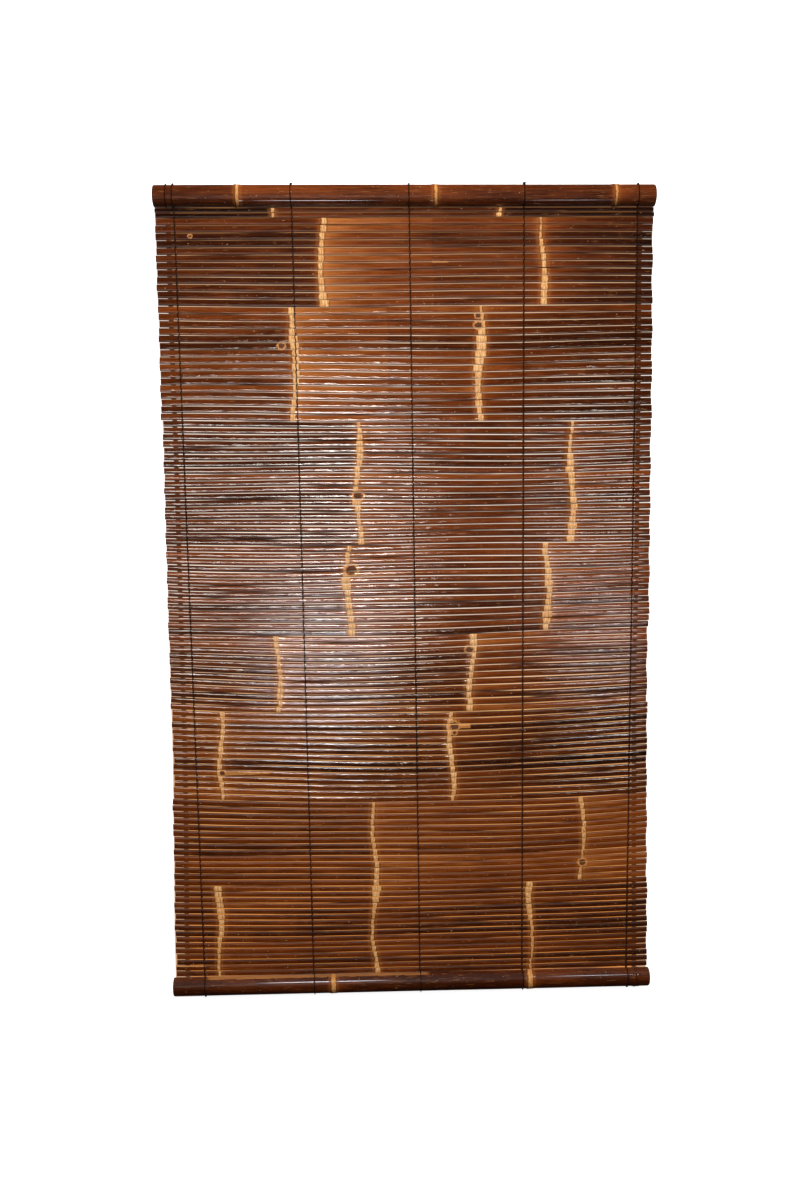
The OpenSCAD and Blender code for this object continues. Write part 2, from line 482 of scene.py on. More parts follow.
# The darkest stain colour, which is also used to paint shade.
PAINTED_SHADE_BROWN, DARK_EDGE = (*STAIN[0][1], 1.0), (*EDGE_STOPS[0][1], 1.0)
# A chip's pale colour also stands in for small glints, as painted highlight.
PALE_CHIP_AND_GLINT = (0.58, 0.360, 0.200, 1.0)
INNER_STOPS = ((0.0, (0.060, 0.0230, 0.0085)), (1.0, (0.210, 0.0980, 0.0380)))
print("stain from dark to thin:", [colour for _, colour in STAIN])


# %% Colour of the stained bark
def stained_bark(tree, across, edge_tone, grain, mark, worn, painted_top_light):
    """The stain with its scratches, its chips with their painted glints, painted top light and dark rims of
    painted shade, and how dark the rims are.
    """
    streaks, bands, clouds = (Wire(grain, name) - 0.5 for name in ("Streaks", "Bands", "Clouds"))
    # painted_top_light paints the upper side lighter, as painted light from above.
    stain = attribute(tree, "stain") + streaks * 0.30 + bands * 0.45 + clouds * 0.36 + across * painted_top_light
    stain = stain + Wire(mark, "Glow") * attribute(tree, "glow") - Wire(grain, "Spots") * 0.35
    colour = ramp(tree, stain, STAIN)
    bare = Wire(grain, "Scratches") * 0.35 + Wire(worn, "Bare") * 0.5
    colour = paint(tree, bare.math("MINIMUM", 0.85), colour, BARE_WOOD)
    # Chips are painted pale, partly as real chips and partly as painted glinting flecks.
    colour = paint(tree, Wire(grain, "Chips") * 0.8, colour, PALE_CHIP_AND_GLINT)
    rim = attribute(tree, "rim")
    broken_shade = step(edge_tone, 0.24, 0.46) * step(rim, 0.0, 0.1)
    # Painted shade: a broken dark rim along the lower and the upper edge of the bark, where the gaps lie in
    # shade.
    lower_rim_shade = step(rim * 0.4 - across - 0.76, 0.0, 0.26) * broken_shade
    upper_rim_shade = step(across, 0.72, 0.92) * broken_shade
    colour = paint(tree, lower_rim_shade * 0.4, colour, PAINTED_SHADE_BROWN)
    colour = paint(tree, upper_rim_shade * 0.9, colour, PAINTED_SHADE_BROWN)
    return colour, lower_rim_shade.math("MAXIMUM", upper_rim_shade)


print("colour of the bark is ready")


# %% Colour of the marks, the scars and the split faces
def bamboo_colour(tree, strip, grain, mark, worn, painted_top_light, heart_share, scraped):
    """The bark, what lies over it, and the faces without bark. It also gives what is dark and dull."""
    place, seed, across, depth = strip
    x = Wire(make(tree, "ShaderNodeSeparateXYZ", {0: place}), "X")
    edge_tone = noise(tree, vector(tree, x * 6.0, seed * 3.1, across), 2.0)
    streaks, clouds = Wire(grain, "Streaks") - 0.5, Wire(grain, "Clouds") - 0.5
    colour, dark = stained_bark(tree, across, edge_tone, grain, mark, worn, painted_top_light)
    colour = paint(tree, Wire(mark, "Halo") * 0.5, colour, THIN_STAIN)
    # Painted shadow along the lip of the mark.
    colour = paint(tree, Wire(mark, "Lip") * 0.5, colour, PAINTED_SHADE_BROWN)
    raw = paint(tree, Wire(mark, "Heart") * (streaks * 0.9 + heart_share), RAW_WOOD, RAW_HEART)
    raw = paint(tree, Wire(mark, "Ring") * 0.6, raw, RING_LINE)
    colour = paint(tree, Wire(mark, "Raw"), colour, raw)
    for k in (1, 2):
        span, form = (attribute(tree, f"torn_{k}{part}", "Vector") for part in ("", "_form"))
        torn = Wire(place_group(tree, torn_group, Place=place, Span=span, Form=form))
        colour = paint(tree, torn * (clouds * 1.2 + streaks * 0.8 + 0.8), colour, scraped)
    for k in (1, 2, 3):
        bud = place_group(tree, bud_group, Place=place, Bud=attribute(tree, f"bud_{k}", "Vector"))
        colour = paint(tree, Wire(bud, "Rim"), colour, RAW_WOOD)
        colour = paint(tree, Wire(bud, "Core"), colour, BUD_CORE)
        dark = dark.math("MAXIMUM", Wire(bud, "Core"))
    inner = ramp(tree, streaks * 1.3 + clouds * 0.5 + 0.5, INNER_STOPS)
    split_face = paint(tree, step(depth, 0.50, 0.65), DARK_EDGE, ramp(tree, edge_tone, EDGE_STOPS))
    inner = paint(tree, step(across.math("ABSOLUTE"), 0.95, 0.985), inner, split_face)
    return paint(tree, step(depth, *BARK_DEPTH), inner, colour), dark


BARK_DEPTH = (0.70, 0.92)
print("the bark starts at", BARK_DEPTH[0], "of the wall")

# %% [markdown]
# The bark is under a thin glossy varnish that rides over small blisters, which break its glints into dashes.
# Raw wood, dark rims and bud scars are dull. A piece also says which of its edges is matt, and on which side
# of it the clear coat lies. The back of a strip is inner wood: paler, rough and without varnish.


# %% Gloss of the varnish
def varnish(tree, strip, grain, dull, dark, gloss):
    """How rough the piece is, and how much clear coat lies on it."""
    across, depth = strip[2:]
    bark = step(depth, *BARK_DEPTH)
    matt = step(across * attribute(tree, "matt_side") - attribute(tree, "matt_from"), 0.0, 0.25)
    uneven = (Wire(grain, "Clouds") - 0.5) * 0.16 + (Wire(grain, "Streaks") - 0.5) * 0.10
    rough = dull * 0.4 + uneven + gloss
    rough = rough + (bark - 1.0) * -0.4 + dark * 0.7 + matt * 0.35
    shiny = step(across * attribute(tree, "shine_side") - attribute(tree, "shine_from"), 0.0, 0.10)
    shiny = shiny * (-dark + 1.0) * (-matt + 1.0) * attribute(tree, "shine")
    return rough.math("MAXIMUM", SMOOTHEST), (bark - dull * bark) * shiny


SMOOTHEST = 0.08
print("roughness of the clear coat:", SMOOTHEST)


# %% Build the bamboo finish
def bamboo_finish(name, edge_start, gloss, specular, coat_ior, painted_top_light, heart_share, scraped):
    """Stained and varnished bamboo. painted_top_light makes the upper side lighter, as painted light from
    above.
    """
    material = bpy.data.materials.new(name)
    material.use_nodes = True
    tree = material.node_tree
    shader = tree.nodes["Principled BSDF"]
    place = Wire(make(tree, "ShaderNodeTexCoord"), "Object")
    seed, across, depth = (attribute(tree, name) for name in ("seed", "across", "depth"))
    x = Wire(make(tree, "ShaderNodeSeparateXYZ", {0: place}), "X")
    nodes, widths = ([attribute(tree, f"{kind}_{k}") for k in (1, 2, 3)] for kind in ("node", "mark"))
    gap, half_width = nearest_node(x, nodes, widths)
    grain = place_group(tree, grain_group, Place=place, Seed=seed)
    mark = place_group(tree, node_group, Place=place, Seed=seed, Node_Gap=gap, Half_Width=half_width)
    worn = place_group(tree, edge_group, Place=place, Seed=seed, Across=across, Start=edge_start)
    strip = (place, seed, across, depth)
    colour, dark = bamboo_colour(tree, strip, grain, mark, worn, painted_top_light, heart_share, scraped)
    dull = (Wire(mark, "Raw") + Wire(worn, "Bare") * 0.7).math("MINIMUM", 1.0)
    rough, coat = varnish(tree, strip, grain, dull, dark, gloss)
    lumps = Wire(grain, "Blisters") * 0.85 + Wire(grain, "Streaks") * 0.15
    bump = make(tree, "ShaderNodeBump", {"Strength": 0.8, "Distance": BLISTER_HEIGHT, "Height": lumps})
    for socket, value in (
        ("Base Color", colour),
        ("Roughness", rough),
        ("Coat Weight", coat),
        ("Coat Roughness", SMOOTHEST),
        ("Coat IOR", coat_ior),
        ("Specular IOR Level", specular),
        ("Normal", Wire(bump)),
    ):
        plug(tree, value, shader.inputs[socket])
    return material


BLISTER_HEIGHT = 0.0006
slat_look = {"edge_start": 0.975, "gloss": 0.11, "specular": 0.5, "coat_ior": 1.5}
rail_look = {"edge_start": 0.98, "gloss": 0.35, "specular": 0.12, "coat_ior": 2.2}
slat_bamboo = bamboo_finish("slat_bamboo", painted_top_light=0.0, heart_share=0.8, scraped=RAW_WOOD, **slat_look)
rail_bamboo = bamboo_finish("rail_bamboo", painted_top_light=0.07, heart_share=0.4, scraped=SCRAPED, **rail_look)
print("bamboo finishes:", slat_bamboo.name, "and", rail_bamboo.name)

# %% [markdown]
# ## The twine finish
# The twine is two thin plies of dark, nearly black brown fibre. The pieces carry the length along the strand
# and the turn around it, so the plies and their fibres can follow the strand wherever it bends.

# %% Build the twine finish
twine_finish = bpy.data.materials.new("twine")
twine_finish.use_nodes = True
tree = twine_finish.node_tree
shader = tree.nodes["Principled BSDF"]
along, around = attribute(tree, "along"), attribute(tree, "around")
fibres = noise(tree, vector(tree, along * 900.0, around * 14.0, 0.0), 3.0)
faded = noise(tree, vector(tree, along * 22.0, 3.0, 0.0), 2.0)
shade = fibres * 0.7 + faded * 0.5 - 0.1
colour = ramp(tree, shade, ((0.2, (0.005, 0.0022, 0.0012)), (0.9, (0.036, 0.0150, 0.0070))))
plug(tree, colour, shader.inputs["Base Color"])
plug(tree, fibres * 0.2 + 0.6, shader.inputs["Roughness"])
shader.inputs["Specular IOR Level"].default_value = 0.05
bump = make(tree, "ShaderNodeBump", {"Strength": 0.5, "Distance": 0.0003, "Height": fibres})
plug(tree, Wire(bump), shader.inputs["Normal"])
print("twine finish:", len(tree.nodes), "nodes")

# %% [markdown]
# ## Growing a strip of culm
# A slat is a narrow strip of a bamboo culm, and a rail is a strip that takes half of it, so one Geometry
# Nodes tree makes both. It draws a closed section along a line, puts one such strip on each point that it is
# given, and then moves every vertex by a formula. The formula bends the section round the culm's axis, swells
# the wall at the nodes, and lets the strip wander a little as split bamboo does. The whole mat also hangs in
# slow waves and sags between its sides, more so further down, and the rails hold it straight at both ends.
# The alternative, a modelled slat with an array, would give 120 equal strips.


# %% Sections: across from -1 to 1, depth from 0 inside to 1 on the bark
def section_object(name, points):
    mesh = bpy.data.meshes.new(name)
    count = len(points)
    mesh.from_pydata([(x, y, 0.0) for x, y in points], [(k, (k + 1) % count) for k in range(count)], [])
    section = bpy.data.objects.new(name, mesh)
    bpy.context.scene.collection.objects.link(section)
    return section


half = [(0.0, 1.0), (0.45, 1.0), (0.8, 0.985), (0.93, 0.93)]
half += [(1.0, 0.74), (1.0, 0.15), (0.94, 0.0), (0.45, 0.0)]
mirrored = [(-x, y) for x, y in half[:0:-1]]
slat_section = section_object("slat_section", half + [(0.0, 0.0)] + mirrored)
turns = [math.sin(math.pi / 2 * k / 20) for k in range(-19, 20)]
outside = [(t, 1.0) for t in turns]
inside = [(t, 0.0) for t in turns[::-2]]
rounded = [(1.0, 0.9), (1.0, 0.1)]
mirrored = [(-x, y) for x, y in rounded[::-1]]
rail_section = section_object("rail_section", outside + rounded + inside + mirrored)
for section in (slat_section, rail_section):
    print(section.name, "has", len(section.data.vertices), "points")

# %% Tree: start with one straight strip on every point
culm = bpy.data.node_groups.new("split_culm", "GeometryNodeTree")
culm.is_modifier = True
sockets(
    culm,
    "INPUT",
    Strips="Geometry",
    Section="Object",
    Stations="Int",
    Gather="Float",
    End_Gather="Float",
    Sway="Float",
    Arch="Float",
    Roll="Float",
    Ridge_Split="Float",
    Finish="Material",
)
sockets(culm, "OUTPUT", Culm="Geometry")
given, result = culm.nodes.new("NodeGroupInput"), culm.nodes.new("NodeGroupOutput")


def stored(tree, geometry, name, value):
    plugs = {"Geometry": geometry, "Name": name, "Value": value}
    return Wire(make(tree, "GeometryNodeStoreNamedAttribute", plugs, data_type="FLOAT", domain="POINT"))


def carried(tree, name):
    return Wire(make(tree, "GeometryNodeInputNamedAttribute", {"Name": name}, data_type="FLOAT"))


line = Wire(make(culm, "GeometryNodeCurvePrimitiveLine", {"End": (1.0, 0.0, 0.0)}))
line = Wire(make(culm, "GeometryNodeResampleCurve", {"Curve": line, "Count": Wire(given, "Stations")}))
line = stored(culm, line, "station", Wire(make(culm, "GeometryNodeSplineParameter"), "Factor"))
section = Wire(make(culm, "GeometryNodeObjectInfo", {"Object": Wire(given, "Section")}), "Geometry")
section = Wire(make(culm, "GeometryNodeMeshToCurve", {"Mesh": section}))
drawn = make(culm, "ShaderNodeSeparateXYZ", {0: Wire(make(culm, "GeometryNodeInputPosition"))})
section = stored(culm, section, "across", Wire(drawn, "X"))
section = stored(culm, section, "depth", Wire(drawn, "Y"))
strip = make(culm, "GeometryNodeCurveToMesh", {"Curve": line, "Profile Curve": section, "Fill Caps": True})
plugs = {"Points": Wire(given, "Strips"), "Instance": Wire(strip)}
strips = Wire(make(culm, "GeometryNodeInstanceOnPoints", plugs))
strips = Wire(make(culm, "GeometryNodeRealizeInstances", {0: strips}))
print("strips are laid out:", len(culm.nodes), "nodes so far")

# %% Tree: the place along the strip, gathered towards the nodes
station, across, depth = (carried(culm, name) for name in ("station", "across", "depth"))
seed, rise, reach = (carried(culm, name) for name in ("seed", "rise", "reach"))
left, right = carried(culm, "left"), carried(culm, "right")
nodes = [carried(culm, f"node_{k}") for k in (1, 2, 3)]
inward = (station * (2 * math.pi)).math("SINE") * Wire(given, "End Gather") * (0.5 / math.pi)
even = left + (station - inward) * (right - left)
x = even
for node in nodes:
    away = even - node
    x = x - away * hill(away, 0.045) * Wire(given, "Gather")


def bulge(away, width):
    """A round ridge, 1 high."""
    share = away / width
    low = (share * share - 1.0).math("MINIMUM", 0.0)
    return low * low


apart = reach * Wire(given, "Ridge Split")
ridges = None
for node in nodes:
    ridge = bulge(x - node + apart, reach - apart) + bulge(x - node - apart, reach - apart) * 0.6
    ridges = ridge if ridges is None else ridges + ridge
print("nodes of the culm swell:", len(culm.nodes), "nodes so far")


# %% Tree: bend the section round the culm and let it wander
def wander(offset, pace):
    """A slow wave along one strip, from -1 to 1, different for each seed and offset."""
    place = vector(culm, x * pace, seed * 3.7 + offset, 0.0)
    return (noise(culm, place, 1.0) - 0.5) * 2.0


def mat_wave(x, z):
    """How far the whole mat moves a slat up or down, in metres."""
    wave = (x * x - LEVEL_X_SQUARED) * (z * -SAG_PER_METRE - SAG_AT_TOP)
    for along, down, start, height in WAVES:
        wave = wave + (x * along + z * down + start).math("SINE") * height
    off_middle = z / MAT_MIDDLE - 1.0
    return wave * (-(off_middle * off_middle * off_middle * off_middle) + 1.0)


WAVES = ((6.1, 9.0, 0.7, 0.0020), (11.3, -27.0, 2.1, 0.0011))
SAG_AT_TOP, SAG_PER_METRE, LEVEL_X_SQUARED = 0.011, 0.068, 0.0675
MAT_MIDDLE = (rails["head_rail"]["axis z"] + rails["bottom_rail"]["axis z"]) / 2
sway, free = Wire(given, "Sway"), -carried(culm, "whole") + 1.0
end_cut = (station * 2.0 - 1.0).math("POWER", 20.0)
x = x + across * end_cut * wander(9.0, 0.0) * 0.0012
broad = wander(20.0, 7.0) * 0.05 + wander(75.0, 0.0) * 0.05 + 1.05
angle = across * carried(culm, "half_angle") * ((broad - 1.0) * free + 1.0)
edge_fall = across * across * across * across * carried(culm, "edge_fall")
thick = carried(culm, "wall") + ridges * rise - edge_fall + wander(31.0, 9.0) * sway * 0.2
from_end = (x - left).math("MINIMUM", right - x).math("MAXIMUM", 0.0)
corner = carried(culm, "end_round")
short = (-(from_end / corner) + 1.0).math("MAXIMUM", 0.0)
rounding = corner * (-((-(short * short) + 1.0).math("SQRT")) + 1.0)
away = carried(culm, "radius") - carried(culm, "wall") + depth * (thick - rounding)
arched = (angle.math("COSINE") - 1.0) * Wire(given, "Arch") + 1.0
off_axis = away * angle.math("SINE")
roll = (wander(83.0, 2.4) + wander(91.0, 9.0) * 0.4) * Wire(given, "Roll")
y = carried(culm, "axis_y") - away * arched + off_axis * roll + wander(47.0, 3.0) * sway * 0.5
z = carried(culm, "axis_z") + off_axis + wander(58.0, 4.0) * sway
z = z + mat_wave(x, carried(culm, "axis_z")) * free
plugs = {"Geometry": strips, "Position": vector(culm, x, y, z)}
strips = Wire(make(culm, "GeometryNodeSetPosition", plugs))
print("section follows the culm:", len(culm.nodes), "nodes so far")

# %% Tree: what the finish needs to know, and the end of the tree
stain = carried(culm, "stain_1")
for k, node in enumerate(nodes):
    passed = step(x - node, -0.002, 0.002)
    stain = stain + (carried(culm, f"stain_{k + 2}") - carried(culm, f"stain_{k + 1}")) * passed
strips = stored(culm, strips, "stain", stain)
smooth = Wire(make(culm, "GeometryNodeSetShadeSmooth", {0: strips}))
whole = Wire(make(culm, "GeometryNodeRealizeInstances", {0: smooth}))
painted = make(culm, "GeometryNodeSetMaterial", {"Geometry": whole, "Material": Wire(given, "Finish")})
plug(culm, Wire(painted), result.inputs["Culm"])
print("split culm tree:", len(culm.nodes), "nodes")


# %% Run a tree and keep the result as a piece
def grow(name, start, tree, values):
    """Runs a Geometry Nodes tree on a mesh, and returns the result as a plain mesh object."""
    maker = bpy.data.objects.new(name + "_start", start)
    bpy.context.scene.collection.objects.link(maker)
    modifier = maker.modifiers.new(tree.name, "NODES")
    modifier.node_group = tree
    for item in tree.interface.items_tree:
        if item.in_out == "INPUT" and item.name in values:
            modifier[item.identifier] = values[item.name]
    graph = bpy.context.evaluated_depsgraph_get()
    mesh = bpy.data.meshes.new_from_object(maker.evaluated_get(graph))
    maker.modifiers.remove(modifier)
    bpy.data.objects.remove(maker)
    shell = bmesh.new()
    shell.from_mesh(mesh)
    bmesh.ops.recalc_face_normals(shell, faces=shell.faces)
    shell.to_mesh(mesh)
    shell.free()
    piece = bpy.data.objects.new(name, mesh)
    bpy.context.scene.collection.objects.link(piece)
    return piece


def strip_points(rows):
    """A mesh with one vertex for each strip, which carries the strip's numbers."""
    mesh = bpy.data.meshes.new("strips")
    mesh.from_pydata([(0.0, 0.0, 0.0)] * len(rows), [], [])
    for name, first in rows[0].items():
        kind, part = ("FLOAT_VECTOR", "vector") if isinstance(first, tuple) else ("FLOAT", "value")
        values = mesh.attributes.new(name, kind, "POINT")
        values.data.foreach_set(part, np.ravel([row[name] for row in rows]))
    return mesh


def strip_row(strip, seed, stains, marks, scars, **form):
    """One strip's numbers by the names that the tree reads. A missing node is put far away."""
    row = {name.replace(" ", "_"): strip[name] for name in ("left", "right", "radius", "wall", "half angle")}
    row.update(axis_y=strip["axis y"], axis_z=strip["axis z"], seed=seed, **form)
    for k in range(3):
        row[f"node_{k + 1}"] = strip["nodes"][k] if k < len(strip["nodes"]) else 9.0
        row[f"mark_{k + 1}"] = marks[k] / 2000 if k < len(marks) else 0.0
    for k in range(4):
        row[f"stain_{k + 1}"] = stains[min(k, len(stains) - 1)]
    buds, torn = scars.get("buds", ()), scars.get("torn", ())
    for k in range(3):
        row[f"bud_{k + 1}"] = buds[k] if k < len(buds) else (9.0, 9.0, 0.0)
    for k in range(2):
        row[f"torn_{k + 1}"] = torn[k][:3] if k < len(torn) else (8.0, 9.0, 9.0)
        row[f"torn_{k + 1}_form"] = (*torn[k][3:], 0.0) if k < len(torn) else (0.0, 0.0, 0.0)
    return row


print("pieces can be grown")

# %% [markdown]
# ## The slats
# All the slats of a bundle were split from one culm, so they share its nodes and the tone of each length
# between two nodes: after a node the stain is often thinner. Each slat then differs a little from its
# neighbours. The bundles in the middle of the blind come from slimmer culms and are rounder at the edges.
# Above the lamps the lower edge of a slat is matt, and below them the upper edge, because the worn edges draw
# no hard glints.

# %% The tones of each bundle
STAINS_AND_SHADE = {
    # Bundle 1 is darkest at both ends, partly as painted shadow under the head rail.
    "slat_bundle_1": (0.00, 0.32, 0.00),
    "slat_bundle_2": (0.33, 0.45, 0.10),
    "slat_bundle_3": (0.46, 0.53, 0.28),
    "slat_bundle_4": (0.37, 0.42, 0.33),
    "slat_bundle_5": (0.47, 0.44, 0.43),
    "slat_bundle_6": (0.48, 0.44, 0.46),
    "slat_bundle_7": (0.53, 0.38, 0.25),
    "slat_bundle_8": (0.43, 0.50, 0.53),
    "slat_bundle_9": (0.42, 0.43, 0.41, 0.30),
}
# The dark rim column is the strength of the painted shade along the edges of a slat.
LOOKS = {  # arch of the section, glow at the nodes, dark rim, matt side and where it starts
    "slat_bundle_1": (0.70, 0.20, 0.20, -1, 0.20),
    "slat_bundle_2": (0.70, 0.70, 0.35, -1, 0.25),
    "slat_bundle_3": (0.85, 0.50, 0.50, -1, 0.52),
    "slat_bundle_4": (0.90, 0.32, 0.80, -1, 0.75),
    "slat_bundle_5": (0.90, 0.32, 0.80, -1, 0.80),
    "slat_bundle_6": (0.90, 0.36, 0.80, 1, 0.80),
    "slat_bundle_7": (0.90, 0.34, 0.50, 1, 0.60),
    "slat_bundle_8": (0.75, 0.24, 0.06, 1, 0.25),
    "slat_bundle_9": (0.70, 0.18, 0.05, 1, 0.20),
}
print("lengths with a tone of their own:", sum(len(tones) for tones in STAINS_AND_SHADE.values()))

# %% The marks and scars of each bundle, marks in millimetres from the top slat down
MARK_WIDTHS = {
    "slat_bundle_1": ((5, 4), (6, 9)),
    "slat_bundle_2": ((9, 8, 9, 8, 8, 14), (3, 4, 7, 8, 11, 12)),
    "slat_bundle_3": ((9, 8, 15, 13, 11, 8, 7, 8), (4, 6, 20, 19, 15, 12, 10, 11, 8)),
    "slat_bundle_4": ((7, 11, 14, 12, 9, 10, 13, 6, 7, 10), (4, 6, 6, 14, 13, 8, 10, 11, 14, 12)),
    "slat_bundle_5": ((7, 7, 12, 16, 9, 11, 12, 12), (9, 9, 9, 11, 13, 8, 13, 16, 9)),
    "slat_bundle_6": ((11, 8, 7, 7, 6, 10, 8, 7), (13, 12, 7, 7, 7, 8, 10, 10)),
    "slat_bundle_7": ((8, 6, 7, 9, 6, 10, 6, 5), (6, 10, 6, 12, 9, 8, 10, 7, 5)),
    "slat_bundle_8": ((5, 5, 5, 6, 6, 8, 8, 10), (9, 8, 6, 6, 5, 3, 3, 7)),
    "slat_bundle_9": ((15, 15, 12, 9, 6, 4, 4), (15, 12, 5, 4, 4, 6, 6, 8), (13, 12, 9, 6, 4, 4, 3, 3)),
}
SCARS = {
    "slat_bundle_2": {
        "buds": [(-0.386, -0.070, 0.0038)],
        "torn": [(0.046, 0.076, -0.116, 0.0019, 0.3)],
    },
    "slat_bundle_3": {"buds": [(0.129, -0.212, 0.006), (0.129, -0.229, 0.008), (-0.227, -0.264, 0.007)]},
    "slat_bundle_4": {"buds": [(-0.092, -0.535, 0.010)]},
    "slat_bundle_5": {"buds": [(-0.106, -0.670, 0.012)], "torn": [(-0.115, 0.025, -0.682, 0.0030, 0.8)]},
    "slat_bundle_6": {"buds": [(0.110, -0.820, 0.008)]},
    "slat_bundle_7": {
        "buds": [(-0.350, -1.045, 0.006), (0.082, -0.963, 0.010), (0.082, -0.976, 0.005)],
        "torn": [(-0.350, -0.258, -1.046, 0.0042, 0.7), (0.084, 0.112, -0.963, 0.0040, -0.2)],
    },
    "slat_bundle_8": {"buds": [(0.322, -1.227, 0.008)]},
    "slat_bundle_9": {"torn": [(-0.446, -0.389, -1.412, 0.0018, -0.5)]},
}
print("scars:", sum(len(places) for bundle in SCARS.values() for places in bundle.values()))


# %% Grow the nine bundles
def along_stops(stops, share):
    """The value at a share of the way through evenly spaced stops."""
    return float(np.interp(share, np.linspace(0.0, 1.0, len(stops)), stops))


chance = random.Random(7)
pieces = []
for number, bundle in enumerate(BUNDLES):
    arch, glow, rim, matt_side, matt_from = LOOKS[bundle]
    slim = slats[bundle][0]["radius"] < 0.025
    rows, count = [], len(slats[bundle])
    for k, slat in enumerate(slats[bundle]):
        shift = chance.gauss(0.0, 0.08)
        stains = [stain + shift for stain in STAINS_AND_SHADE[bundle]]
        down = k / (count - 1)
        marks = [along_stops(stops, down) * chance.uniform(0.85, 1.2) for stops in MARK_WIDTHS[bundle]]
        seed = number * 20.0 + k + chance.random() * 0.5
        form = {"rise": 0.00035, "reach": 0.006, "edge_fall": 0.0003 if slim else 0.0001, "whole": 0.0}
        form.update(end_round=0.0005, glow=glow, rim=rim, matt_side=matt_side, matt_from=matt_from)
        form.update(shine=0.25, shine_side=1.0, shine_from=-2.0)
        rows.append(strip_row(slat, seed, stains, marks, SCARS.get(bundle, {}), **form))
    values = {"Section": slat_section, "Stations": 60, "Gather": 0.8, "End Gather": 0.0, "Sway": 0.0004}
    values.update({"Arch": arch, "Roll": 0.05, "Ridge Split": 0.0, "Finish": slat_bamboo})
    piece = grow(bundle + "_bamboo", strip_points(rows), culm, values)
    piece.data.set_sharp_from_angle(angle=math.radians(40))
    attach(piece, "root")
    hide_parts(bundle)
    pieces.append(piece)
print("faces in each bundle:", [len(piece.data.polygons) for piece in pieces])

# %% [markdown]
# ## The rails
# A rail is half a culm with its flat, open side to the wall. The same tree grows it, with a section of a full
# half turn and a node that has two ridges with a groove between. Inside, each node closes the culm with a
# thin wall, the septum, which is added as a dished half disc. The clear coat shines on the side towards the
# lamps only: the lower half of the head rail and the upper half of the bottom rail.


# %% Add the septa to a rail
def add_septa(piece, rail, thickness=0.004, rings=5, spokes=18):
    """Half discs across the inside of a rail, dished as a culm's are, that reach into its wall."""
    shell = bmesh.new()
    shell.from_mesh(piece.data)
    outer = rail["radius"] - rail["wall"] * 0.7
    for x in rail["nodes"]:
        faces = []
        for side in (-1, 1):
            rows = []
            for r in range(rings + 1):
                share = r / rings
                dish = x + side * thickness / 2 + 0.0025 * (1 - share**2)
                row = []
                for s in range(spokes + 1):
                    a = math.pi / 2 + math.pi * s / spokes
                    y, z = share * outer * math.cos(a), share * outer * math.sin(a)
                    row.append(shell.verts.new((dish, min(y, -0.0002), rail["axis z"] + z)))
                rows.append(row)
            faces.append(rows)
            for low, high in zip(rows, rows[1:]):
                for s in range(spokes):
                    shell.faces.new((low[s], low[s + 1], high[s + 1], high[s]))
        for s in range(spokes):
            shell.faces.new((faces[0][-1][s], faces[0][-1][s + 1], faces[1][-1][s + 1], faces[1][-1][s]))
        for s in (0, spokes):
            for r in range(rings):
                a, b = faces[0], faces[1]
                shell.faces.new((a[r][s], a[r + 1][s], b[r + 1][s], b[r][s]))
    bmesh.ops.remove_doubles(shell, verts=shell.verts, dist=1e-6)
    bmesh.ops.recalc_face_normals(shell, faces=shell.faces)
    for face in shell.faces:
        face.smooth = True
    shell.to_mesh(piece.data)
    shell.free()


print("septa for", sum(len(rail["nodes"]) for rail in rails.values()), "nodes")

# %% Grow the two rails
RAIL_STAINS = {"head_rail": (0.36, 0.42, 0.33, 0.34), "bottom_rail": (0.29, 0.24, 0.28, 0.28)}
RAIL_SHINE = {
    "head_rail": {"shine_side": -1.0, "shine_from": 0.22},
    "bottom_rail": {"shine_side": 1.0, "shine_from": 0.26},
}
RAIL_MARKS = {"head_rail": (4.4, 4.4, 3.2), "bottom_rail": (7.0, 8.0, 0.0)}
RAIL_SCARS = {
    "head_rail": {"torn": [(-0.452, -0.180, -0.0226, 0.0010, 0.0)]},
    "bottom_rail": {"torn": [(-0.390, 0.035, -1.4345, 0.0030, 0.2), (-0.446, -0.405, -1.466, 0.0022, 0.4)]},
}
for number, (node, rail) in enumerate(rails.items()):
    form = {"rise": 0.0011, "reach": 0.008, "edge_fall": 0.0, "whole": 1.0, "end_round": 0.003}
    form.update(glow=0.15, rim=0.0, shine=0.8, matt_side=1.0, matt_from=2.0, **RAIL_SHINE[node])
    seed = 301.0 + 17.0 * number
    row = strip_row(rail, seed, RAIL_STAINS[node], RAIL_MARKS[node], RAIL_SCARS[node], **form)
    values = {"Section": rail_section, "Stations": 420, "Gather": 0.0, "End Gather": 0.8, "Sway": 0.0004}
    values.update({"Arch": 1.0, "Roll": 0.0, "Ridge Split": 0.4, "Finish": rail_bamboo})
    piece = grow(node + "_bamboo", strip_points([row]), culm, values)
    add_septa(piece, rail)
    piece.data.set_sharp_from_angle(angle=math.radians(40))
    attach(piece, "root")
    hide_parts(node)
    print(node, "has", len(piece.data.polygons), "faces")

# %% [markdown]
# ## The twine
# Two strands make a column. One passes in front of a slat while the other passes behind it, and they cross
# in every gap, so each slat is held on both sides and the crossing keeps it off its neighbour. The path of a
# strand is a row of points that is read from the slats, and a second tree draws a two-ply section along it,
# turned as it goes so that the plies wind round each other.

